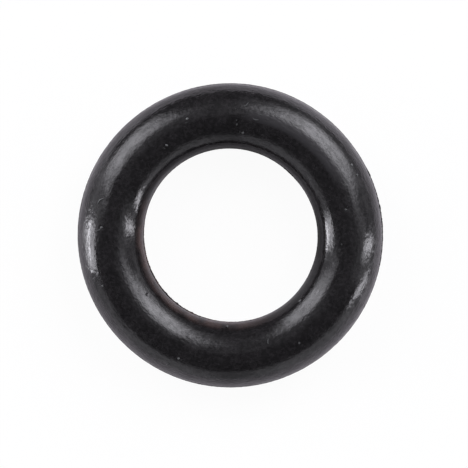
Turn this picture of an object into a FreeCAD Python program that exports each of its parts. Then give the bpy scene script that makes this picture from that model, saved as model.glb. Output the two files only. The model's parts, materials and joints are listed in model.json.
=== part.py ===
"""A moulded rubber O-ring, 8 mm bore and 3 mm section, made as one solid.

The ring lies flat: its axis is +Z, and the origin is the ring's centre, half way up.
Two mould halves meet at that height. The flash that they squeeze out is trimmed off,
and leaves a fine rib, the parting line, round the bore and round the outside.
All lengths are in millimetres.
"""

import FreeCAD, Part

import math
import os

# Driving sizes of the ring
BORE_DIAMETER = 8.0
SECTION_DIAMETER = 3.0

# The trimmed parting line: how far it stands out of the round section, how wide its flat
# crest is along the ring's axis, and how far each of its two flanks runs along the axis
RIB_HEIGHT = 0.015
RIB_CREST_WIDTH = 0.06
RIB_FLANK_RUN = 0.03

# Worked out from the sizes above
SECTION_RADIUS = SECTION_DIAMETER / 2
RING_RADIUS = BORE_DIAMETER / 2 + SECTION_RADIUS
RIB_CREST_HALF = RIB_CREST_WIDTH / 2
RIB_ROOT_HALF = RIB_CREST_HALF + RIB_FLANK_RUN

OUTWARD = 1
INWARD = -1
ORIGIN = FreeCAD.Vector(0, 0, 0)
RING_AXIS = FreeCAD.Vector(0, 0, 1)
FULL_TURN = 360


def section_point(across, up):
    """A point of the section, from its centre: across the ring, and up along its axis."""
    return FreeCAD.Vector(RING_RADIUS + across, 0, up)


def rib_root(side, up):
    """Where a flank of the rib meets the round section, above or below mid-height."""
    on_circle = math.sqrt(SECTION_RADIUS**2 - RIB_ROOT_HALF**2)
    return section_point(side * on_circle, up * RIB_ROOT_HALF)


def rib_crest(side, up):
    """The upper or lower corner of the rib's flat crest."""
    return section_point(side * (SECTION_RADIUS + RIB_HEIGHT), up * RIB_CREST_HALF)


def mould_half(up):
    """The arc that one mould half gives the section, from the outer rib to the inner one."""
    top = section_point(0, up * SECTION_RADIUS)
    return Part.Arc(rib_root(OUTWARD, up), top, rib_root(INWARD, up))


def parting_rib(side):
    """The rib on one side of the section: the upper flank, the crest and the lower flank."""
    corners = [rib_root(side, 1), rib_crest(side, 1), rib_crest(side, -1), rib_root(side, -1)]
    return [Part.LineSegment(a, b) for a, b in zip(corners, corners[1:])]


def ring_section():
    """The ring's section as a face in the XZ plane."""
    outline = [mould_half(1), *parting_rib(INWARD), mould_half(-1), *parting_rib(OUTWARD)]
    edges = Part.sortEdges([curve.toShape() for curve in outline])[0]
    return Part.Face(Part.Wire(edges))


def o_ring():
    """The section turned once about the ring's axis."""
    return ring_section().revolve(ORIGIN, RING_AXIS, FULL_TURN)


def main():
    os.makedirs("parts", exist_ok=True)
    ring = o_ring()
    ring.exportStep("parts/o_ring.step")
    box = ring.optimalBoundingBox(False)
    print(
        f"o_ring: {box.XLength:.3f} x {box.YLength:.3f} x {box.ZLength:.3f} mm,"
        f" {ring.Volume:.2f} mm3, valid {ring.isValid()}, solids {len(ring.Solids)}"
    )


main()
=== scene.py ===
import json
import math
from typing import NamedTuple

import bmesh
import bpy
import numpy as np
from mathutils import Matrix, Quaternion, Vector, noise


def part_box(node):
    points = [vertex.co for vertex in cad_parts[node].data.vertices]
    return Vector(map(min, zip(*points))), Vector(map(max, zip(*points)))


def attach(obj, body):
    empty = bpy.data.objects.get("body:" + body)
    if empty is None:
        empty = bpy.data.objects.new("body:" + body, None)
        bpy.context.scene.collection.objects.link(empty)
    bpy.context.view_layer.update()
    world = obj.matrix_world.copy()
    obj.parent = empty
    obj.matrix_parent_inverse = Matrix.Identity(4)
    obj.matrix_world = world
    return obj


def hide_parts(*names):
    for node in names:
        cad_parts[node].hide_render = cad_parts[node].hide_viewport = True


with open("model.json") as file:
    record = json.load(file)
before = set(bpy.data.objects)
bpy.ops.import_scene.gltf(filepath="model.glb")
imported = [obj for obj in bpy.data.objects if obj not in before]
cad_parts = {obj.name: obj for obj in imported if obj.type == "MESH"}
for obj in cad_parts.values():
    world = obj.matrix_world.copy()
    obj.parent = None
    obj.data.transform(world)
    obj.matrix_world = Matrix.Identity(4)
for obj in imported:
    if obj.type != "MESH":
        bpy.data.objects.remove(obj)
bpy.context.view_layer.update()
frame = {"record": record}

bl_info = {
    "name": "Moulded O-Ring",
    "version": (1, 0, 0),
    "blender": (4, 5, 0),
    "location": "View3D > Sidebar > O-Ring",
    "description": "A black rubber O-ring with its parting line, nicks and lint, on a white table",
    "category": "Add Mesh",
}

NODE = "o_ring"
BODY = "root"
TONE = "tone"

MM = 0.001
MICRON = 0.000001

# The ring's sizes, taken from the frame: its height is the section, and its two mounts are the
# crests of the parting line
MOUNTS = {mount["name"]: mount["dims"] for mount in frame["record"]["mounts"]}
NODE_LOW, NODE_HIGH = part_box(NODE)
BORE_CREST = MOUNTS["bore"]["r_mm"] * MM
RIM_CREST = MOUNTS["outer_rim"]["r_mm"] * MM
RING_RADIUS = (BORE_CREST + RIM_CREST) / 2
SECTION_RADIUS = (NODE_HIGH.z - NODE_LOW.z) / 2
RIB_HEIGHT = (RIM_CREST - BORE_CREST) / 2 - SECTION_RADIUS
RIB_CREST_WIDTH = MOUNTS["bore"]["length_mm"] * MM
FLOOR_HEIGHT = NODE_LOW.z

# How far each flank of the parting line runs along the axis
RIB_FLANK_RUN = 0.03 * MM

# The photograph's side, and where circles fitted to its outline put the ring in it
PHOTO_SIDE_PX = 468
RING_CENTRE_PX = (230.37, 235.39)
RING_RADIUS_PX = 119.29
METRES_PER_PX = RING_RADIUS / RING_RADIUS_PX


class Mark(NamedTuple):
    """A dent, a ridge or a broad swell in the rubber.

    ring and tube are the angles of its middle, in degrees: ring goes round the axis from +X,
    and tube goes round the section, from 0 on top to 90 at the outside and -90 in the bore.
    along and across are its reach in mm, and height is in microns, below zero for a dent.
    """

    ring: float
    tube: float
    along: float
    across: float
    height: float


MARKS = (
    # a small crater in the bore's lower left, and one at its lower right
    Mark(215.6, -33.5, 0.11, 0.11, 16),
    Mark(215.6, -33.5, 0.055, 0.055, -48),
    Mark(317.4, -47.5, 0.11, 0.09, 16),
    Mark(317.4, -47.5, 0.05, 0.045, -50),
    # the fine ridge that ends in a blob on the left side
    Mark(184.0, 41.5, 0.80, 0.045, 5),
    Mark(191.5, 44.0, 0.50, 0.045, 6),
    Mark(195.3, 46.0, 0.09, 0.07, 22),
    # thin scuffs along the outside, lower left
    Mark(213.5, 45.0, 0.55, 0.045, 14),
    Mark(218.0, 42.0, 0.60, 0.045, 16),
    Mark(221.0, 38.5, 0.40, 0.045, 12),
    # small dents on the crest and the outside
    Mark(176.6, 19.0, 0.07, 0.06, -22),
    Mark(13.0, -1.0, 0.07, 0.07, -24),
    Mark(83.4, -26.0, 0.05, 0.07, 18),
    Mark(302.5, 13.7, 0.06, 0.06, 14),
    Mark(322.0, 8.0, 0.08, 0.05, -12),
    Mark(268.0, -60.0, 0.05, 0.08, 26),
    Mark(247.5, -20.0, 0.09, 0.05, 10),
    # the flattened wall of the bore on the right
    Mark(1.5, -63.0, 1.00, 0.28, 13),
    # the bore's wall stands fuller from the right round to the top, below a flatter flank
    Mark(80.0, -60.0, 6.00, 0.35, 38),
    Mark(80.0, -28.0, 6.00, 0.35, -18),
    # the flanks lean a little along the ring: in the bore on the right and at the upper left,
    # and outside on the left
    Mark(344.0, -42.0, 1.50, 0.80, -24),
    Mark(22.0, -42.0, 1.50, 0.80, 24),
    Mark(145.0, -40.0, 1.20, 0.60, 22),
    Mark(175.0, -40.0, 1.20, 0.60, -22),
    Mark(168.0, 42.0, 1.80, 0.80, -27),
    Mark(200.0, 42.0, 1.80, 0.80, 27),
)


class Wobble(NamedTuple):
    """How the ring's edge departs from a circle: how many times in a turn, a ring angle where it
    stands out most, in degrees, and by how much there, in microns."""

    times: int
    ring: float
    reach: float


# The outer edge stands out from its circle, and the bore's edge into the bore
OUTER_WOBBLES = (
    Wobble(0, 0, 1.0),
    Wobble(1, 165, 8.0),
    Wobble(2, 169, 11.5),
    Wobble(4, 355, 9.0),
)
BORE_WOBBLES = (
    Wobble(0, 0, -7.0),
    Wobble(1, 191, 12.7),
    Wobble(2, 48, 33.5),
    Wobble(3, 46, 7.9),
    Wobble(5, 45, 5.2),
)


class Swell(NamedTuple):
    """A rise that comes and goes round the ring: its middle and its reach, in degrees, and its
    height, in microns."""

    ring: float
    reach: float
    height: float


# Flash left standing on the parting line, past the trimmed rib
OUTER_FLASH = (
    Swell(8.0, 15.0, 16),
    Swell(11.1, 0.7, 26),
    Swell(4.0, 0.6, 10),
    Swell(24.0, 1.3, 22),
    Swell(353.0, 6.0, 8),
)
BORE_FLASH = (
    Swell(216.0, 40.0, 22),
    Swell(46.0, 7.0, 12),
    Swell(222.0, 0.9, 30),
    Swell(232.0, 0.8, 24),
    Swell(243.6, 0.8, 28),
)

# How far the wall of the bore is set back behind the flash at its lower left, and how far the
# top and the foot of the section are set outwards there, between sides that stay in place
BORE_SET_BACK = (Swell(216.0, 40.0, 30),)
SECTION_SHIFT = (Swell(232.0, 30.0, 26),)

# The crest of the parting line has four points, at these shares of half its width, which stand
# out by these shares of the rib's height
RIB_STEPS = np.array([1.0, 0.4, -0.4, -1.0])
RIB_SHARES = np.array([0.85, 1.0, 1.0, 0.85])

# How ragged the trimmed rib and the flash are, as shares of their heights, how many times to
# a degree they change, and how far apart in the noise the two sides are
RIB_RAGGED = 0.35
FLASH_RAGGED = 0.5
RAGS_PER_DEGREE = 1.7
SIDES_APART = 9.0

# Tall flash is thicker than the trimmed rib: by this share of the crest for each micron that
# it stands out, up to so many microns
FLASH_THICKENING = 0.02
FLASH_THICKEST = 50

# The sine of the tube angle at which the wobbles of the sides start, and where they are full
SIDE_STARTS = 0.64
SIDE_FULL = 0.98


class Speck(NamedTuple):
    """A grain of lint or dirt on the rubber, or a black grain of painted shade beside a pale one:
    ring and tube angles in degrees, half sizes in microns, the way it points in degrees from the
    ring's run, and its tone, 0 black and 1 pale."""

    ring: float
    tube: float
    length: float
    width: float
    turn: float
    tone: float


# Grains of tone 0 are black grains of painted shade, set beside a pale grain or a dent
SPECKS = (
    # top of the ring
    Speck(110.4, 8.6, 62, 52, 20, 0.75),
    Speck(111.4, 2.1, 70, 46, 30, 0.0),
    Speck(125.3, -16.4, 76, 48, 120, 0.50),
    Speck(127.3, -18.2, 66, 48, 120, 0.0),
    Speck(83.0, -29.8, 68, 52, 80, 0.40),
    Speck(84.7, -29.1, 72, 34, 80, 0.0),
    Speck(86.6, -15.2, 54, 44, 80, 0.14),
    Speck(86.9, -7.5, 40, 34, 0, 0.10),
    Speck(72.2, 3.5, 40, 30, 0, 0.12),
    # right side
    Speck(30.2, 39.8, 60, 50, 20, 0.95),
    Speck(25.5, 40.0, 54, 46, 0, 0.75),
    Speck(12.6, -2.3, 58, 44, 60, 0.45),
    Speck(13.6, 1.4, 46, 36, 0, 0.0),
    Speck(355.3, -14.0, 44, 36, 0, 0.15),
    Speck(35.0, -42.0, 44, 38, 0, 0.35),
    # left side
    Speck(176.4, 17.2, 64, 46, 100, 0.80),
    Speck(201.5, 32.4, 62, 46, 60, 0.50),
    Speck(202.8, 36.2, 52, 36, 0, 0.0),
    Speck(244.2, 44.9, 74, 60, 0, 0.20),
    # bottom
    Speck(247.2, 24.4, 60, 50, 30, 0.62),
    Speck(248.5, 25.0, 50, 36, 0, 0.0),
    Speck(302.6, 14.4, 64, 46, 80, 0.24),
    Speck(268.1, -61.0, 96, 44, 90, 0.55),
    Speck(316.6, -47.5, 56, 50, 0, 0.70),
    Speck(320.2, -47.5, 66, 44, 40, 0.0),
    Speck(314.6, -49.7, 50, 36, 0, 0.0),
)


class Fibre(NamedTuple):
    """A short curved lint fibre: its middle, its length and bend in microns, the way it points
    in degrees from the ring's run, and its tone."""

    ring: float
    tube: float
    length: float
    bend: float
    turn: float
    tone: float


FIBRES = (
    Fibre(165.2, 26.8, 350, 60, 143, 0.85),
    Fibre(83.1, 22.5, 290, 30, 52, 0.34),
    Fibre(77.6, -1.2, 250, 24, 4, 0.34),
    Fibre(76.2, 8.9, 220, 16, 0, 0.30),
    Fibre(177.2, 21.5, 240, 40, -58, 0.35),
    Fibre(289.7, -12.8, 250, 20, 70, 0.34),
)

# In its middle a fibre has this share of its set radius, and at its ends half a radius less. It
# is partly sunk into the rubber: its middle line is lifted by this share of its thickness.
FIBRE_STEPS = 10
FIBRE_SIDES = 6
FIBRE_MIDDLE = 1.15
FIBRE_LIFT = 0.2

# A speck is a little flatter than it is wide, lumpy, and partly sunk into the rubber
SPECK_SUBDIVISIONS = 2
SPECK_FLATNESS = 0.8
SPECK_LIFT = 0.2
SPECK_LUMPS = 0.3
LUMPS_PER_RADIUS = 1.4

# The specks on the sides that the photograph doesn't show: how many, the seed of their
# places, and the spans of their tube angles in degrees and of their half sizes in microns
HIDDEN_SPECKS = 26
HIDDEN_SPECK_SEED = 7
HIDDEN_TUBES = (96, 150)
HIDDEN_LENGTHS = (34, 60)
HIDDEN_WIDTHS = (28, 44)


class SheenPatch(NamedTuple):
    """A patch of painted sheen in the rubber's colour, or of duller skin: its middle and its reach
    along the ring in degrees, its reach across in mm, and how strong it is, from 0 to 1."""

    ring: float
    tube: float
    along: float
    across: float
    amount: float


# A pale painted sheen on the crest at the upper right, where the highlight there runs on towards the
# crest
PAINTED_SHEENS = (
    SheenPatch(54.0, 3.5, 34.0, 0.32, 0.8),
)

# Where the skin is duller: the amounts come off its polish
DULL_PATCHES = (
    SheenPatch(336.0, -28.0, 10.0, 0.55, 1.0),
    SheenPatch(292.0, -25.0, 12.0, 0.50, 0.9),
)

# The share of a patch's reach along the ring over which it is at its full strength
SHEEN_PATCH_CORE = 0.4

# The reddish painted reflection of the lit table on the wall of the bore: its middle and its
# reach round the ring in degrees, the share of that reach at full strength, the radii in mm
# where it starts and is full, and how much it roughens the skin
BORE_REFLECTION_RING = 222.0
BORE_REFLECTION_REACH = 95.0
BORE_REFLECTION_CORE = 0.25
BORE_REFLECTION_STARTS = RING_RADIUS / MM - 1.05
BORE_REFLECTION_FULL = BORE_CREST / MM + 0.05
BORE_REFLECTION_ROUGHNESS = 0.06

# The radii in mm where the coarser texture of the outer rim starts and is full
RIM_STARTS = RING_RADIUS / MM + 0.9
RIM_FULL = RIM_CREST / MM - 0.2

# The levels of noise over which dust, clouds and the clouds of the painted reflection in the
# bore go from none to full, how much of the rubber's paleness is dust, the rest being clouds,
# and how much of the clouds is added to the relief of the drag marks
DUST_SPAN = (0.35, 0.75)
CLOUD_SPAN = (0.3, 0.75)
BORE_REFLECTION_SPAN = (0.25, 0.65)
DUST_SHARE = 0.6
CLOUD_RELIEF = 0.25

# Grains to a millimetre in the lint, the share of its tone that the darkest keep and how much
# more the palest have, and its roughness
LINT_GRAIN = 14.0
LINT_LOW = 0.7
LINT_SPAN = 0.6
LINT_ROUGHNESS = 0.8

# How many finer layers of noise the streaks along the ring hold, and how strong they are
STREAK_DETAIL = 1.2
STREAK_ROUGHNESS = 0.55


class Softbox(NamedTuple):
    """A lamp as the ring sees it: its direction, its half sizes and its roll in degrees, how
    bright it is beside the white of the table, and the shares of its width and its height over
    which its edges fade."""

    name: str
    azimuth: float
    elevation: float
    half_width: float
    half_height: float
    roll: float
    level: float
    fade_width: float
    fade_height: float


SOFTBOXES = (
    Softbox("softbox_upper_right", 46.5, 40, 26, 34.5, 0, 5.8, 1.0, 0.80),
    Softbox("softbox_upper_left", 138.8, 33, 23, 32.5, 0, 4.4, 0.75, 0.70),
    Softbox("window_left", 183.8, 8.5, 10.2, 20, 0, 5.8, 0.10, 0.05),
    Softbox("window_left_line", 180.8, 6.1, 9.4, 3.8, 0, 15.0, 0.25, 0.50),
    Softbox("strip_right_low", 338.2, 9.5, 4.4, 16, 20, 7.4, 0.40, 0.20),
    Softbox("strip_right", 355.3, 19, 4.8, 25, 4, 10.3, 0.80, 0.80),
)


class Glow(NamedTuple):
    """A dim part of the dark hood: its direction, half width and lowest and highest edge in
    degrees, and how bright it is beside the white of the table."""

    azimuth: float
    half_width: float
    lowest: float
    highest: float
    level: float


GLOWS = (
    Glow(232, 32, -20, 25, 0.80),
    Glow(302, 24, -20, 25, 0.78),
    Glow(164, 10, -10, 42, 0.75),
    Glow(340, 16, -14, 26, 0.40),
    Glow(355, 2, 26, 60, 0.50),
    Glow(34, 29, -20, 16, 0.42),
    Glow(100, 45, 32, 74, 0.15),
    Glow(22, 8, 34, 56, 0.45),
    Glow(26, 6, 8, 32, 0.38),
    Glow(67, 7, 18, 60, 0.50),
    Glow(126, 14, 62, 76, 0.35),
)
ZENITH_GLOW = Glow(46, 10, 74, 74, 0.25)

# The glow near the zenith fades between these shares of its half width
ZENITH_FADE = (1.5, 0.5)

# The brightest that the hood can be beside the white of the table
HOOD_WHITE = 2.0


class Patch(NamedTuple):
    """A painted shadow or painted pool of light on the table, as the ring mirrors it: its middle
    and its reach in mm, and how much of the way from dark to pale it adds in the middle."""

    x: float
    y: float
    reach: float
    pale: float


# Painted shadows and painted pools of light on the table, which the ring mirrors: the darker ones lie
# in the bore and close round the ring
TABLE_PAINTED_LIGHT_AND_SHADOW = (
    Patch(13.0, -5.0, 9.0, 0.30),
    Patch(9.0, 9.0, 6.0, 0.08),
    Patch(2.0, 13.0, 4.5, 0.20),
    Patch(-1.0, 9.5, 4.0, -0.25),
    Patch(-5.4, 6.0, 3.2, -0.28),
    Patch(-7.4, -0.2, 1.5, -0.25),
    Patch(7.6, 1.2, 1.5, 0.24),
    Patch(5.9, 6.0, 1.6, -0.15),
    Patch(0.0, 0.0, 3.2, -0.30),
    Patch(-0.8, 2.2, 2.2, -0.20),
    Patch(2.2, -1.2, 3.4, -0.45),
    Patch(3.2, 0.1, 1.4, -0.60),
)

# How far a patch fades out, in its own reaches
PATCH_FADE = 1.3

# Steps round the table's edge, and how finely the hood is divided
TABLE_STEPS = 128
HOOD_SUBDIVISIONS = 5

# Where the camera's view starts and ends, in its own distances from the ring
VIEW_STARTS = 0.1
VIEW_ENDS = 4


def radians(*degrees):
    """Several angles in degrees, as radians."""
    return [math.radians(angle) for angle in degrees]


def direction(azimuth, elevation):
    """The unit vector that points at an azimuth from +X and an elevation, both in degrees."""
    around, up = radians(azimuth, elevation)
    return Vector((math.cos(up) * math.cos(around), math.cos(up) * math.sin(around), math.sin(up)))


def settings():
    """This scene's settings for the ring, its surface and the stage."""
    return bpy.context.scene.o_ring


def fade(distance, reach):
    """1 at no distance, falling smoothly to nothing a little past the reach."""
    return np.exp(-((distance / reach) ** 2))


def angle_between(angle, middle):
    """The difference of two ring angles in degrees, from -180 to 180."""
    return (angle - middle + 180) % 360 - 180


class Value:
    """An output of a shader node. Arithmetic on it, with another or a number, adds Math nodes."""

    def __init__(self, shader, socket):
        self.shader = shader
        self.socket = socket

    def maths(self, operation, *terms):
        """The result of a Math node."""
        return self.shader.node("ShaderNodeMath", {"operation": operation}, dict(enumerate(terms)))

    def __add__(self, other):
        return self.maths("ADD", self, other)

    def __radd__(self, other):
        return self.maths("ADD", other, self)

    def __sub__(self, other):
        return self.maths("SUBTRACT", self, other)

    def __rsub__(self, other):
        return self.maths("SUBTRACT", other, self)

    def __mul__(self, other):
        return self.maths("MULTIPLY", self, other)

    def __rmul__(self, other):
        return self.maths("MULTIPLY", other, self)

    def __truediv__(self, other):
        return self.maths("DIVIDE", self, other)

    def __rtruediv__(self, other):
        return self.maths("DIVIDE", other, self)

    def __pow__(self, other):
        return self.maths("POWER", self, other)

    def larger(self, other):
        """The larger of two values."""
        return self.maths("MAXIMUM", self, other)

    def step(self, low, high):
        """0 below low and 1 above high, smooth between; falling where low is the larger."""
        limits = {"Value": self, "From Min": low, "From Max": high}
        return self.shader.node("ShaderNodeMapRange", {"interpolation_type": "SMOOTHSTEP"}, limits)


class Shader:
    """The node tree of a material, a lamp or the world, emptied and ready to be filled."""

    def __init__(self, owner):
        owner.use_nodes = True
        self.tree = owner.node_tree
        self.tree.nodes.clear()

    def node(self, kind, options=None, sockets=None, output=0):
        """Adds a node: its options first, then the values or links of its sockets."""
        made = self.tree.nodes.new(kind)
        for name, value in (options or {}).items():
            setattr(made, name, value)
        for key, value in (sockets or {}).items():
            if isinstance(value, Value):
                self.tree.links.new(value.socket, made.inputs[key])
            else:
                made.inputs[key].default_value = value
        return Value(self, made.outputs[output]) if made.outputs else None

    def place(self, unit):
        """The point on the object, in the given unit."""
        point = self.node("ShaderNodeTexCoord", output="Object")
        sockets = {0: point, "Scale": 1 / unit}
        return self.node("ShaderNodeVectorMath", {"operation": "SCALE"}, sockets)

    def split(self, vector):
        """The three numbers of a vector."""
        parts = self.node("ShaderNodeSeparateXYZ", None, {0: vector}).socket.node
        return [Value(self, output) for output in parts.outputs]

    def grain(self, point, scale, detail=2.0):
        """Noise from about 0 to 1, with so many grains to each unit of the point."""
        sockets = {"Vector": point, "Scale": scale, "Detail": detail}
        return self.node("ShaderNodeTexNoise", None, sockets)

    def streaks(self, x, y, radius, z, scale, stretch):
        """Noise from about 0 to 1 whose grains are drawn out along the ring."""
        along = {0: x * (scale / stretch), 1: y * (scale / stretch), 2: radius * scale}
        point = self.node("ShaderNodeCombineXYZ", None, along)
        sockets = {"Vector": point, "W": z * scale, "Scale": 1.0, "Detail": STREAK_DETAIL,
                   "Roughness": STREAK_ROUGHNESS}
        return self.node("ShaderNodeTexNoise", {"noise_dimensions": "4D"}, sockets)

    def mix(self, share, first, second):
        """One colour turning into the other as the share goes from 0 to 1."""
        return self.node("ShaderNodeMix", {"data_type": "RGBA"}, {0: share, 6: first, 7: second}, 2)

    def surface(self, shader):
        """Links a shader to the material's surface."""
        self.node("ShaderNodeOutputMaterial", None, {"Surface": shader})


def new_material(name):
    """A fresh material and its empty node tree."""
    material = bpy.data.materials.new(name)
    return material, Shader(material)


def opaque(colour):
    """A colour of three numbers with full alpha, as a socket wants it."""
    return (*colour, 1.0)


def sheen_patch_share(shader, x, y, radius, sheen_patch):
    """How strong a patch of painted sheen or of duller skin is, from 0 to its amount."""
    around, tube, reach = radians(sheen_patch.ring, sheen_patch.tube, sheen_patch.along)
    beside = (x * math.cos(around) + y * math.sin(around)) / radius
    away = radius - (RING_RADIUS + SECTION_RADIUS * math.sin(tube)) / MM
    near = (away * away).step(sheen_patch.across ** 2, 0.0)
    return sheen_patch.amount * beside.step(math.cos(reach), math.cos(reach * SHEEN_PATCH_CORE)) * near


def rubber_material(look):
    """Moulded black rubber: satin, finely mottled, with a reddish painted reflection of the lit
    table on the wall of the bore and a pale painted sheen on the crest.
    """
    material, shader = new_material("moulded_black_rubber")
    point = shader.place(MM)
    x, y, z = shader.split(point)
    radius = (x * x + y * y) ** 0.5

    mottle = shader.streaks(x, y, radius, z, look.mottle_scale, look.mottle_stretch)
    drag = shader.streaks(x, y, radius, z, look.drag_scale, look.drag_stretch)
    dust = shader.grain(point, look.dust_scale, detail=1.0)
    cloud = shader.grain(point, look.cloud_scale)
    # the reddish painted reflection of the lit table on the bore's wall, at the lower left
    bore = radius.step(BORE_REFLECTION_STARTS, BORE_REFLECTION_FULL)
    middle, reach = radians(BORE_REFLECTION_RING, BORE_REFLECTION_REACH)
    beside = (x * math.cos(middle) + y * math.sin(middle)) / radius
    near = beside.step(math.cos(reach), math.cos(reach * BORE_REFLECTION_CORE))
    bore_reflection = bore * near * cloud.step(*BORE_REFLECTION_SPAN)

    pale = DUST_SHARE * dust.step(*DUST_SPAN) + (1 - DUST_SHARE) * cloud.step(*CLOUD_SPAN)
    black = shader.mix(pale, opaque(look.rubber_dark), opaque(look.rubber_pale))
    # the pale painted sheen on the crest
    for sheen_patch in PAINTED_SHEENS:
        black = shader.mix(sheen_patch_share(shader, x, y, radius, sheen_patch), black, opaque(look.sheen_patch))
    colour = shader.mix(bore_reflection, black, opaque(look.bore_reflection))
    rough = look.roughness + look.roughness_spread * (mottle - 0.5) + BORE_REFLECTION_ROUGHNESS * bore_reflection
    coarse = 1 + look.rim_mottle * radius.step(RIM_STARTS, RIM_FULL)
    depths = look.drag_depth / look.mottle_depth
    height = (mottle - 0.5) * coarse + depths * (drag + CLOUD_RELIEF * cloud)
    bump = {"Strength": 1.0, "Distance": look.mottle_depth, "Height": height}
    normal = shader.node("ShaderNodeBump", None, bump)
    skin = {"Base Color": colour, "Roughness": rough, "Normal": normal}
    dull, polished = [
        shader.node("ShaderNodeBsdfPrincipled", None, {**skin, "IOR": ior})
        for ior in (look.ior - look.ior_spread, look.ior + look.ior_spread)
    ]
    polish = 0.5 + look.polish_contrast * (0.5 * (mottle + drag) - 0.5)
    for patch in DULL_PATCHES:
        polish = polish - sheen_patch_share(shader, x, y, radius, patch)
    shader.surface(shader.node("ShaderNodeMixShader", None, {0: polish, 1: dull, 2: polished}))
    return material


def lint_material(look):
    """Lint and dirt, and the black grains of painted shade, from black to pale by the tone that each
    grain carries.
    """
    material, shader = new_material("lint_dirt_and_painted_shade")
    tone = shader.node("ShaderNodeAttribute", {"attribute_name": TONE}, output="Fac")
    share = tone * (LINT_LOW + LINT_SPAN * shader.grain(shader.place(MM), LINT_GRAIN))
    colour = shader.mix(share, opaque(look.lint_dark_and_painted_shade), opaque(look.lint_pale))
    sockets = {"Base Color": colour, "Roughness": LINT_ROUGHNESS}
    shader.surface(shader.node("ShaderNodeBsdfPrincipled", None, sockets))
    return material


def floor_material(stage):
    """White to the eye; lit like smooth paper elsewhere, where it holds painted shadows and pools
    of light. It keeps the ring's shadow, faintly to the eye and more so in reflections."""
    material, shader = new_material("white_table")
    eye, gloss, glass = ray_kinds(shader)
    mirrored_share = gloss.larger(glass) * (1 - stage.mirrored_shadow)
    share = (eye * (1 - stage.floor_shadow)).larger(mirrored_share)
    x, y, _ = shader.split(shader.place(MM))
    # painted shadows and pools of light on the table, which the camera doesn't see directly
    pale = stage.floor_pale_share
    for patch in TABLE_PAINTED_LIGHT_AND_SHADOW:
        away = ((x - patch.x) ** 2 + (y - patch.y) ** 2) ** 0.5
        pale = patch.pale * away.step(patch.reach * PATCH_FADE, 0.0) + pale
    mirrored = shader.mix(pale, opaque(stage.floor_dark), opaque(stage.floor_pale))
    paper = shader.node("ShaderNodeBsdfPrincipled", None, {
        "Base Color": shader.mix(eye, mirrored, (1, 1, 1, 1)),
        "Roughness": stage.floor_roughness,
        "Specular IOR Level": stage.floor_gloss,
    })
    white = shader.node("ShaderNodeEmission", None, {"Color": (1, 1, 1, 1), "Strength": 1.0})
    shader.surface(shader.node("ShaderNodeMixShader", None, {0: share, 1: paper, 2: white}))
    return material


def ray_kinds(shader):
    """Three values, each 1 for one kind of ray: the camera's, a gloss's and one through glass."""
    path = shader.node("ShaderNodeLightPath").socket.node
    names = ("Is Camera Ray", "Is Glossy Ray", "Is Transmission Ray")
    return [Value(shader, path.outputs[name]) for name in names]


def hood_material(stage):
    """The dark hood round the table, with the dim glows that the ring reflects."""
    material, shader = new_material("dark_hood")
    ray = shader.node("ShaderNodeVectorMath", {"operation": "NORMALIZE"}, {0: shader.place(1.0)})
    x, y, z = shader.split(ray)
    level = (x * x + y * y) ** 0.5
    soft = stage.glow_fade
    bright = stage.hood_level
    for glow in GLOWS:
        around, wide, low, high = radians(glow.azimuth, glow.half_width, glow.lowest, glow.highest)
        beside = (x * math.cos(around) + y * math.sin(around)) / level
        inside = beside.step(math.cos(wide + soft), math.cos(wide - soft))
        above = z.step(math.sin(low) - soft / 2, math.sin(low) + soft / 2)
        below = z.step(math.sin(high) + soft / 2, math.sin(high) - soft / 2)
        bright = glow.level * inside * above * below + bright
    middle = direction(ZENITH_GLOW.azimuth, ZENITH_GLOW.lowest)
    near = x * middle.x + y * middle.y + z * middle.z
    edges = [math.cos(math.radians(ZENITH_GLOW.half_width * share)) for share in ZENITH_FADE]
    bright = ZENITH_GLOW.level * near.step(*edges) + bright
    colour = shader.mix(bright / HOOD_WHITE, (0, 0, 0, 1), opaque(stage.lamp_colour))
    shader.surface(shader.node("ShaderNodeEmission", None, {"Color": colour, "Strength": HOOD_WHITE}))
    material.cycles.emission_sampling = "NONE"
    return material


def rise(ring, swells):
    """The height of some swells together, at ring angles in degrees."""
    return sum(
        swell.height * MICRON * fade(angle_between(ring, swell.ring), swell.reach)
        for swell in swells
    )


def wander(ring, wobbles):
    """How far some wobbles together stand out, at ring angles in degrees."""
    return sum(
        wobble.reach * MICRON * np.cos(np.radians(wobble.times * (ring - wobble.ring)))
        for wobble in wobbles
    )


def smooth(share):
    """A share from 0 to 1, eased at both ends."""
    return share * share * (3 - 2 * share)


def reach_out(ring, tube):
    """How far across the ring the smooth section lies from the ring's middle circle, at angles in
    degrees. Its sides wobble, and its top and its foot shift between them."""
    sine = np.sin(np.radians(tube))
    shift = rise(ring, SECTION_SHIFT)
    outside = wander(ring, OUTER_WOBBLES) - shift
    bore = wander(ring, BORE_WOBBLES) + shift - rise(ring, BORE_SET_BACK)
    side = smooth(np.clip((np.abs(sine) - SIDE_STARTS) / (SIDE_FULL - SIDE_STARTS), 0, 1))
    return shift + (SECTION_RADIUS + side * np.where(sine > 0, outside, bore)) * sine


def flash_height(ring, pieces, form, side):
    """How far the parting line stands out at ring angles in degrees, ragged where flash is left."""
    extra = rise(ring, pieces)
    places = [Vector((angle * RAGS_PER_DEGREE, side * SIDES_APART, 0.5)) for angle in ring]
    ragged = np.array([noise.noise(place) for place in places])
    return form.rib_height * (1 + RIB_RAGGED * ragged) + extra * (1 + FLASH_RAGGED * ragged)


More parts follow.
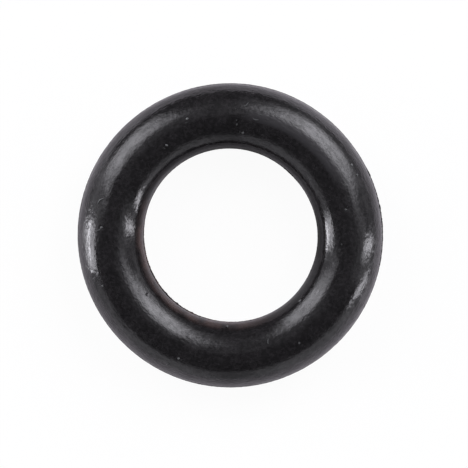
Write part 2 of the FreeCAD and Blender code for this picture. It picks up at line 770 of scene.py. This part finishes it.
def section_rows(form):
    """The rows of points round the section, as arrays: tube angle in degrees, height above the
    middle, and how much of the rib's height is added."""
    crest = form.rib_crest_width / 2
    root = 90 - math.degrees(math.asin((crest + form.rib_flank_run) / SECTION_RADIUS))
    top = np.linspace(-root, root, form.top_rows)
    under = np.linspace(180 - root, 180 + root, form.under_rows)
    points = len(RIB_STEPS)
    tube = np.concatenate([top, np.full(points, 90.0), under, np.full(points, -90.0)])
    height = np.concatenate([
        SECTION_RADIUS * np.cos(np.radians(top)),
        RIB_STEPS * crest,
        SECTION_RADIUS * np.cos(np.radians(under)),
        -RIB_STEPS * crest,
    ])
    rib = np.concatenate([np.zeros(len(top)), RIB_SHARES, np.zeros(len(under)), RIB_SHARES])
    return tube, height, rib


def relief(ring, tube, form):
    """How far each point lies above or below the smooth rubber, for grids of both angles."""
    lift = np.zeros_like(ring)
    around = (RING_RADIUS + SECTION_RADIUS * np.sin(np.radians(tube))) * np.radians(1)
    for mark in MARKS:
        along = angle_between(ring, mark.ring) * around
        across = angle_between(tube, mark.tube) * SECTION_RADIUS * math.radians(1)
        shape = fade(along, mark.along * MM) * fade(across, mark.across * MM)
        lift += mark.height * MICRON * shape
    return lift + form.waviness * wave(ring, tube)


def wave(ring, tube):
    """Slow unevenness of the moulded surface, from -1 to 1. Whole numbers of waves go round the
    ring and round the section, so that each closes on itself."""
    turn, roll = np.radians(ring), np.radians(tube)
    slow = np.sin(5 * turn + 1.3) * np.cos(2 * roll) + np.sin(11 * turn + 3 * roll)
    quick = np.sin(23 * turn - 2 * roll + 0.7) * np.sin(31 * turn + 5 * roll)
    return (slow + quick) / 3


def ring_points(form):
    """The ring's points, one row of the grid for each ring angle."""
    tube, height, rib = section_rows(form)
    ring = np.arange(form.turn_steps) * 360 / form.turn_steps
    turn, roll = np.meshgrid(ring, tube, indexing="ij")
    sine, cosine = np.sin(np.radians(roll)), np.cos(np.radians(roll))
    outer = flash_height(ring, OUTER_FLASH, form, 1)[:, None]
    bore = flash_height(ring, BORE_FLASH, form, -1)[:, None]
    flash = np.where(sine > 0, outer, bore)
    lift = relief(turn, roll, form) * (rib == 0)
    radius = RING_RADIUS + reach_out(turn, roll) + lift * sine
    radius += rib * np.where(sine > 0, flash, -flash)
    thick = 1 + FLASH_THICKENING * np.minimum(flash / MICRON, FLASH_THICKEST) * (rib > 0)
    up = height[None, :] * thick + lift * cosine
    x, y = radius * np.cos(np.radians(turn)), radius * np.sin(np.radians(turn))
    return np.stack([x, y, np.maximum(up, FLOOR_HEIGHT)], axis=-1)


def grid_faces(turns, rows):
    """Quads of a grid that closes on itself both ways."""
    faces = []
    for i in range(turns):
        here, after = i * rows, (i + 1) % turns * rows
        for j in range(rows):
            k = (j + 1) % rows
            faces.append((here + j, after + j, after + k, here + k))
    return faces


def add_piece(name, mesh, material):
    """Puts a mesh in the scene as a smooth piece that rides on the part's body."""
    piece = bpy.data.objects.new(name, mesh)
    bpy.context.scene.collection.objects.link(piece)
    mesh.materials.append(material)
    mesh.shade_smooth()
    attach(piece, BODY)
    return piece


def surface_frame(ring, tube, lift=0.0):
    """The place of a point on the rubber, with axes along the ring, down the section and out."""
    turn, roll = radians(ring, tube)
    reach = float(reach_out(float(ring), float(tube)))
    across = Vector((math.cos(turn), math.sin(turn), 0))
    along = Vector((-math.sin(turn), math.cos(turn), 0))
    normal = across * math.sin(roll) + Vector((0, 0, math.cos(roll)))
    point = across * (RING_RADIUS + reach) + Vector((0, 0, SECTION_RADIUS * math.cos(roll)))
    axes = Matrix((along, normal.cross(along), normal)).transposed().to_4x4()
    return Matrix.Translation(point + normal * lift) @ axes


def add_speck(mesh, speck, look):
    """A lumpy grain, two fifths of it sunk into the rubber."""
    ball = bmesh.ops.create_icosphere(mesh, subdivisions=SPECK_SUBDIVISIONS, radius=1.0)
    size = Vector((speck.length, speck.width, speck.width * SPECK_FLATNESS))
    size *= MICRON * look.speck_size
    place = surface_frame(speck.ring, speck.tube, size.z * SPECK_LIFT)
    place = place @ Matrix.Rotation(math.radians(speck.turn), 4, "Z")
    tone = mesh.verts.layers.float[TONE]
    own = Vector((speck.ring, speck.tube, 0))
    for vertex in ball["verts"]:
        vertex[tone] = speck.tone
        lump = 1 + SPECK_LUMPS * noise.noise(vertex.co * LUMPS_PER_RADIUS + own)
        shaped = Vector(a * b for a, b in zip(vertex.co * lump, size))
        vertex.co = place @ shaped


def add_fibre(mesh, fibre, look):
    """A thin bent fibre that follows the rubber, partly sunk into it."""
    length, bend = fibre.length * MICRON, fibre.bend * MICRON
    place = surface_frame(fibre.ring, fibre.tube)
    place = place @ Matrix.Rotation(math.radians(fibre.turn), 4, "Z")
    tone = mesh.verts.layers.float[TONE]
    loops = []
    for i in range(FIBRE_STEPS + 1):
        share = i / FIBRE_STEPS - 0.5
        # the surface falls away from the tangent plane, and the fibre follows it
        middle = Vector((share * length, bend * (1 - 4 * share * share), 0))
        drop = (middle.x**2 + middle.y**2) / (2 * SECTION_RADIUS)
        thick = look.fibre_radius * (FIBRE_MIDDLE - abs(share))
        lift = Vector((0, 0, thick * FIBRE_LIFT - drop))
        loop = []
        for k in range(FIBRE_SIDES):
            turn = 2 * math.pi * k / FIBRE_SIDES
            rim = Vector((0, math.cos(turn), math.sin(turn))) * thick
            vertex = mesh.verts.new(place @ (middle + rim + lift))
            vertex[tone] = fibre.tone
            loop.append(vertex)
        loops.append(loop)
    for before, after in zip(loops, loops[1:]):
        for k in range(FIBRE_SIDES):
            near, far = k, (k + 1) % FIBRE_SIDES
            mesh.faces.new((before[near], before[far], after[far], after[near]))
    mesh.faces.new(reversed(loops[0]))
    mesh.faces.new(loops[-1])


def hidden_specks():
    """Sparser grains on the sides that the photograph doesn't show."""
    pick = np.random.default_rng(HIDDEN_SPECK_SEED)
    specks = []
    for side in pick.choice([-1, 1], HIDDEN_SPECKS):
        ring, tube = pick.uniform(0, 360), side * pick.uniform(*HIDDEN_TUBES)
        length, width = pick.uniform(*HIDDEN_LENGTHS), pick.uniform(*HIDDEN_WIDTHS)
        specks.append(Speck(ring, tube, length, width, turn=0, tone=0.5))
    return specks


class RingForm(bpy.types.PropertyGroup):
    """Sizes of the moulded ring."""

    rib_height: bpy.props.FloatProperty(
        name="Rib height", description="How far the trimmed parting line stands out",
        default=RIB_HEIGHT, min=0, precision=6, unit="LENGTH")
    rib_crest_width: bpy.props.FloatProperty(
        name="Rib crest width", description="Width of the parting line's flat crest",
        default=RIB_CREST_WIDTH, min=0, precision=6, unit="LENGTH")
    rib_flank_run: bpy.props.FloatProperty(
        name="Rib flank run", description="How far each flank of the rib runs along the axis",
        default=RIB_FLANK_RUN, min=0, precision=6, unit="LENGTH")
    waviness: bpy.props.FloatProperty(
        name="Waviness", description="Slow unevenness of the moulded surface",
        default=2.5 * MICRON, precision=7, unit="LENGTH")
    turn_steps: bpy.props.IntProperty(
        name="Steps round the ring", description="Mesh steps round the axis", default=760, min=48)
    top_rows: bpy.props.IntProperty(
        name="Rows on top", description="Mesh rows over the upper mould half", default=88, min=12)
    under_rows: bpy.props.IntProperty(
        name="Rows below", description="Mesh rows over the lower mould half", default=28, min=12)


class RubberLook(bpy.types.PropertyGroup):
    """Colours and finish of the rubber and the lint."""

    rubber_dark: bpy.props.FloatVectorProperty(
        name="Rubber, dark", description="The darker black of the rubber",
        subtype="COLOR", size=3, min=0, max=1, default=(0.0070, 0.0066, 0.0070))
    rubber_pale: bpy.props.FloatVectorProperty(
        name="Rubber, pale", description="The paler black of the rubber",
        subtype="COLOR", size=3, min=0, max=1, default=(0.0190, 0.0178, 0.0188))
    # The reddish painted reflection of the lit table on the wall of the bore
    bore_reflection: bpy.props.FloatVectorProperty(
        name="Painted bore reflection", description="Reddish bloom on the wall of the bore",
        subtype="COLOR", size=3, min=0, max=1, default=(0.066, 0.041, 0.036))
    # The colour of the pale painted sheen on the crest
    sheen_patch: bpy.props.FloatVectorProperty(
        name="SheenPatch", description="Pale haze on the crest",
        subtype="COLOR", size=3, min=0, max=1, default=(0.034, 0.033, 0.035))
    # The darker parts of the lint, and the black of the grains of painted shade
    lint_dark_and_painted_shade: bpy.props.FloatVectorProperty(
        name="Lint, dark", description="The darker parts of the lint",
        subtype="COLOR", size=3, min=0, max=1, default=(0.003, 0.003, 0.0035))
    lint_pale: bpy.props.FloatVectorProperty(
        name="Lint, pale", description="The paler parts of the lint",
        subtype="COLOR", size=3, min=0, max=1, default=(0.140, 0.145, 0.145))
    roughness: bpy.props.FloatProperty(
        name="Roughness", description="Mean roughness of the rubber",
        subtype="FACTOR", default=0.15, min=0, max=1)
    roughness_spread: bpy.props.FloatProperty(
        name="Roughness spread", description="How much the roughness varies over the surface",
        subtype="FACTOR", default=0.12, min=0, max=1)
    ior: bpy.props.FloatProperty(
        name="Refractive index", description="Mean refractive index of the rubber's skin",
        default=1.5, min=1)
    ior_spread: bpy.props.FloatProperty(
        name="Refractive spread",
        description="How far the polished and dull grains are from that mean",
        default=0.075, min=0)
    polish_contrast: bpy.props.FloatProperty(
        name="Polish contrast", description="How sharply the skin turns from dull to polished",
        default=5.0, min=0)
    mottle_scale: bpy.props.FloatProperty(
        name="Mottle scale", description="Grains of the fine texture to a millimetre",
        default=9.5, min=0)
    mottle_stretch: bpy.props.FloatProperty(
        name="Mottle stretch", description="How far the grains are drawn out along the ring",
        default=1.8, min=1)
    dust_scale: bpy.props.FloatProperty(
        name="Dust scale", description="Grains of pale dust to a millimetre", default=7.0, min=0)
    mottle_depth: bpy.props.FloatProperty(
        name="Mottle depth", description="Depth of the fine texture",
        default=8.0 * MICRON, precision=7, unit="LENGTH")
    rim_mottle: bpy.props.FloatProperty(
        name="Rim mottle", description="How much deeper the fine texture is on the outer rim",
        default=1.8, min=0)
    drag_scale: bpy.props.FloatProperty(
        name="Drag scale", description="Drag marks of the mould to a millimetre", default=3.5, min=0)
    drag_stretch: bpy.props.FloatProperty(
        name="Drag stretch", description="How far the drag marks are drawn out along the ring",
        default=2.5, min=1)
    drag_depth: bpy.props.FloatProperty(
        name="Drag depth", description="Depth of the drag marks",
        default=4.5 * MICRON, precision=7, unit="LENGTH")
    cloud_scale: bpy.props.FloatProperty(
        name="Cloud scale", description="Clouds of the coarse texture to a millimetre",
        default=1.3, min=0)
    speck_size: bpy.props.FloatProperty(
        name="Speck size", description="Share of their drawn size that the specks have",
        default=1.0, min=0)
    fibre_radius: bpy.props.FloatProperty(
        name="Fibre radius", description="Radius of a lint fibre",
        default=26 * MICRON, precision=6, unit="LENGTH")


class StageLook(bpy.types.PropertyGroup):
    """The table, the hood, the lamps and the camera."""

    floor_radius: bpy.props.FloatProperty(
        name="Table radius", description="Radius of the white table",
        default=18.5 * MM, unit="LENGTH", precision=4)
    floor_dark: bpy.props.FloatVectorProperty(
        name="Table, dark",
        description="Colour of the table's darkest parts, as the ring mirrors them",
        subtype="COLOR", size=3, min=0, max=1, default=(0.12, 0.115, 0.12))
    floor_pale: bpy.props.FloatVectorProperty(
        name="Table, pale",
        description="Colour of the table's palest parts, as the ring mirrors them",
        subtype="COLOR", size=3, min=0, max=1, default=(0.98, 0.93, 0.97))
    floor_pale_share: bpy.props.FloatProperty(
        name="Table paleness",
        description="How far the plain table is from its dark to its pale colour",
        subtype="FACTOR", default=0.76, min=0, max=1)
    floor_gloss: bpy.props.FloatProperty(
        name="Table gloss", description="Specular level of the table's smooth paper",
        subtype="FACTOR", default=0.38, min=0, max=1)
    floor_roughness: bpy.props.FloatProperty(
        name="Table roughness", description="Roughness of the table's smooth paper",
        subtype="FACTOR", default=0.35, min=0, max=1)
    floor_shadow: bpy.props.FloatProperty(
        name="Shadow share", description="How much of the ring's shadow the eye sees on the table",
        subtype="FACTOR", default=0.05, min=0, max=1)
    mirrored_shadow: bpy.props.FloatProperty(
        name="Mirrored shadow share", description="How much of that shadow the ring itself mirrors",
        subtype="FACTOR", default=0.95, min=0, max=1)
    lamp_colour: bpy.props.FloatVectorProperty(
        name="Lamp colour", description="Tint of the lamps",
        subtype="COLOR", size=3, min=0, max=1, default=(0.95, 0.94, 1.0))
    hood_radius: bpy.props.FloatProperty(
        name="Hood radius", description="Radius of the dark hood", default=0.5, unit="LENGTH")
    hood_level: bpy.props.FloatProperty(
        name="Hood brightness", description="Brightness of the hood away from its glows",
        default=0.05, min=0)
    glow_fade: bpy.props.FloatProperty(
        name="Glow fade", description="Angle over which a glow's edge fades",
        subtype="ANGLE", default=math.radians(14))
    lamp_distance: bpy.props.FloatProperty(
        name="Lamp distance", description="Distance of the lamps from the ring",
        default=0.4, unit="LENGTH")
    lamp_level: bpy.props.FloatProperty(
        name="Lamp level", description="Brightness of all the lamps together",
        default=1.0, min=0)
    camera_distance: bpy.props.FloatProperty(
        name="Camera distance", description="Height of the camera above the ring",
        default=0.5, unit="LENGTH")


class OringScene(bpy.types.PropertyGroup):
    """All the settings of this scene."""

    form: bpy.props.PointerProperty(type=RingForm, name="Form", description="Sizes of the ring")
    look: bpy.props.PointerProperty(type=RubberLook, name="Look", description="Finish of the rubber")
    stage: bpy.props.PointerProperty(
        type=StageLook, name="Stage", description="Table, lamps and camera")


class ORING_OT_moulded_ring(bpy.types.Operator):
    """Builds the moulded rubber ring with its parting line, flash and nicks."""

    bl_idname = "oring.moulded_ring"
    bl_label = "Moulded Ring"

    def execute(self, context):
        form = settings().form
        points = ring_points(form)
        turns, rows = points.shape[:2]
        mesh = bpy.data.meshes.new("moulded_ring")
        mesh.from_pydata(points.reshape(-1, 3).tolist(), [], grid_faces(turns, rows))
        ring = add_piece("moulded_ring", mesh, rubber_material(settings().look))
        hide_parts(NODE)
        return {"FINISHED"}


class ORING_OT_lint(bpy.types.Operator):
    """Scatters the specks and fibres of lint over the rubber, with black grains of painted shade
    beside some specks.
    """

    bl_idname = "oring.lint"
    bl_label = "Lint"

    def execute(self, context):
        look = settings().look
        grains = bmesh.new()
        grains.verts.layers.float.new(TONE)
        for speck in [*SPECKS, *hidden_specks()]:
            add_speck(grains, speck, look)
        for fibre in FIBRES:
            add_fibre(grains, fibre, look)
        mesh = bpy.data.meshes.new("lint")
        grains.to_mesh(mesh)
        grains.free()
        add_piece("lint", mesh, lint_material(look))
        return {"FINISHED"}


def add_floor(stage):
    """The round white table that the ring lies on."""
    disc = bmesh.new()
    bmesh.ops.create_circle(disc, cap_ends=True, segments=TABLE_STEPS, radius=stage.floor_radius)
    mesh = bpy.data.meshes.new("table")
    disc.to_mesh(mesh)
    disc.free()
    table = bpy.data.objects.new("table", mesh)
    table.location.z = FLOOR_HEIGHT
    bpy.context.scene.collection.objects.link(table)
    mesh.materials.append(floor_material(stage))


def add_hood(stage):
    """The dark hood all round, which the ring reflects and the camera doesn't see."""
    shell = bmesh.new()
    bmesh.ops.create_icosphere(shell, subdivisions=HOOD_SUBDIVISIONS, radius=stage.hood_radius)
    mesh = bpy.data.meshes.new("hood")
    shell.to_mesh(mesh)
    shell.free()
    hood = bpy.data.objects.new("hood", mesh)
    hood.visible_camera = False
    bpy.context.scene.collection.objects.link(hood)
    mesh.materials.append(hood_material(stage))


def add_softbox(box, stage):
    """A rectangular lamp that faces the ring, with faded edges."""
    lamp = bpy.data.lights.new(box.name, "AREA")
    lamp.shape = "RECTANGLE"
    lamp.size, lamp.size_y = [
        2 * stage.lamp_distance * math.tan(half) for half in radians(box.half_width, box.half_height)
    ]
    lamp.energy = math.pi * lamp.size * lamp.size_y * box.level * stage.lamp_level
    shader = Shader(lamp)
    spot = shader.node("ShaderNodeNewGeometry", output="Parametric")
    u, v, _ = shader.split(spot)
    shape = 1.0
    for way, fade_share in ((u, box.fade_width), (v, box.fade_height)):
        shape = way.step(0.0, fade_share / 2) * way.step(1.0, 1 - fade_share / 2) * shape
    colour = shader.mix(shape, (0, 0, 0, 1), opaque(stage.lamp_colour))
    glow = shader.node("ShaderNodeEmission", None, {"Color": colour, "Strength": 1.0})
    shader.node("ShaderNodeOutputLight", None, {"Surface": glow})
    toward = direction(box.azimuth, box.elevation)
    holder = bpy.data.objects.new(box.name, lamp)
    holder.location = toward * stage.lamp_distance
    rolled = toward.to_track_quat("Z", "Y") @ Quaternion((0, 0, 1), math.radians(box.roll))
    holder.rotation_euler = rolled.to_euler()
    holder.visible_camera = False
    bpy.context.scene.collection.objects.link(holder)


def add_world():
    """Plain white beyond the table."""
    world = bpy.data.worlds.new("white_room")
    shader = Shader(world)
    white = shader.node("ShaderNodeBackground", None, {"Color": (1, 1, 1, 1), "Strength": 1.0})
    shader.node("ShaderNodeOutputWorld", None, {"Surface": white})
    bpy.context.scene.world = world


def add_camera(stage):
    """The camera looks straight down, with the ring a little off its middle as in the photograph."""
    lens = bpy.data.cameras.new("camera")
    lens.lens = lens.sensor_width * stage.camera_distance / (PHOTO_SIDE_PX * METRES_PER_PX)
    lens.clip_start = stage.camera_distance * VIEW_STARTS
    lens.clip_end = stage.camera_distance * VIEW_ENDS
    camera = bpy.data.objects.new("camera", lens)
    middle = PHOTO_SIDE_PX / 2
    camera.location = (
        (middle - RING_CENTRE_PX[0]) * METRES_PER_PX,
        (RING_CENTRE_PX[1] - middle) * METRES_PER_PX,
        stage.camera_distance,
    )
    bpy.context.scene.collection.objects.link(camera)
    bpy.context.scene.camera = camera


class ORING_OT_stage(bpy.types.Operator):
    """Sets the white table, the dark hood, the lamps and the camera."""

    bl_idname = "oring.stage"
    bl_label = "Stage"

    def execute(self, context):
        stage = settings().stage
        add_floor(stage)
        add_hood(stage)
        for box in SOFTBOXES:
            add_softbox(box, stage)
        add_world()
        add_camera(stage)
        bpy.context.scene.view_settings.view_transform = "Standard"
        return {"FINISHED"}


class ORING_PT_panel(bpy.types.Panel):
    """Lists the ring's pieces and their settings."""

    bl_idname = "ORING_PT_panel"
    bl_label = "Moulded O-Ring"
    bl_space_type = "VIEW_3D"
    bl_region_type = "UI"
    bl_category = "O-Ring"

    def draw(self, context):
        chosen = context.scene.o_ring
        for group, operator in (
            (chosen.form, "oring.moulded_ring"),
            (chosen.look, "oring.lint"),
            (chosen.stage, "oring.stage"),
        ):
            box = self.layout.box()
            for name in group.__annotations__:
                box.prop(group, name)
            box.operator(operator)


CLASSES = (
    RingForm,
    RubberLook,
    StageLook,
    OringScene,
    ORING_OT_moulded_ring,
    ORING_OT_lint,
    ORING_OT_stage,
    ORING_PT_panel,
)


def register():
    for made in CLASSES:
        bpy.utils.register_class(made)
    bpy.types.Scene.o_ring = bpy.props.PointerProperty(type=OringScene)


def unregister():
    del bpy.types.Scene.o_ring
    for made in reversed(CLASSES):
        bpy.utils.unregister_class(made)


def main():
    register()
    bpy.ops.oring.moulded_ring()
    bpy.ops.oring.lint()
    bpy.ops.oring.stage()


if __name__ == "__main__":
    main()
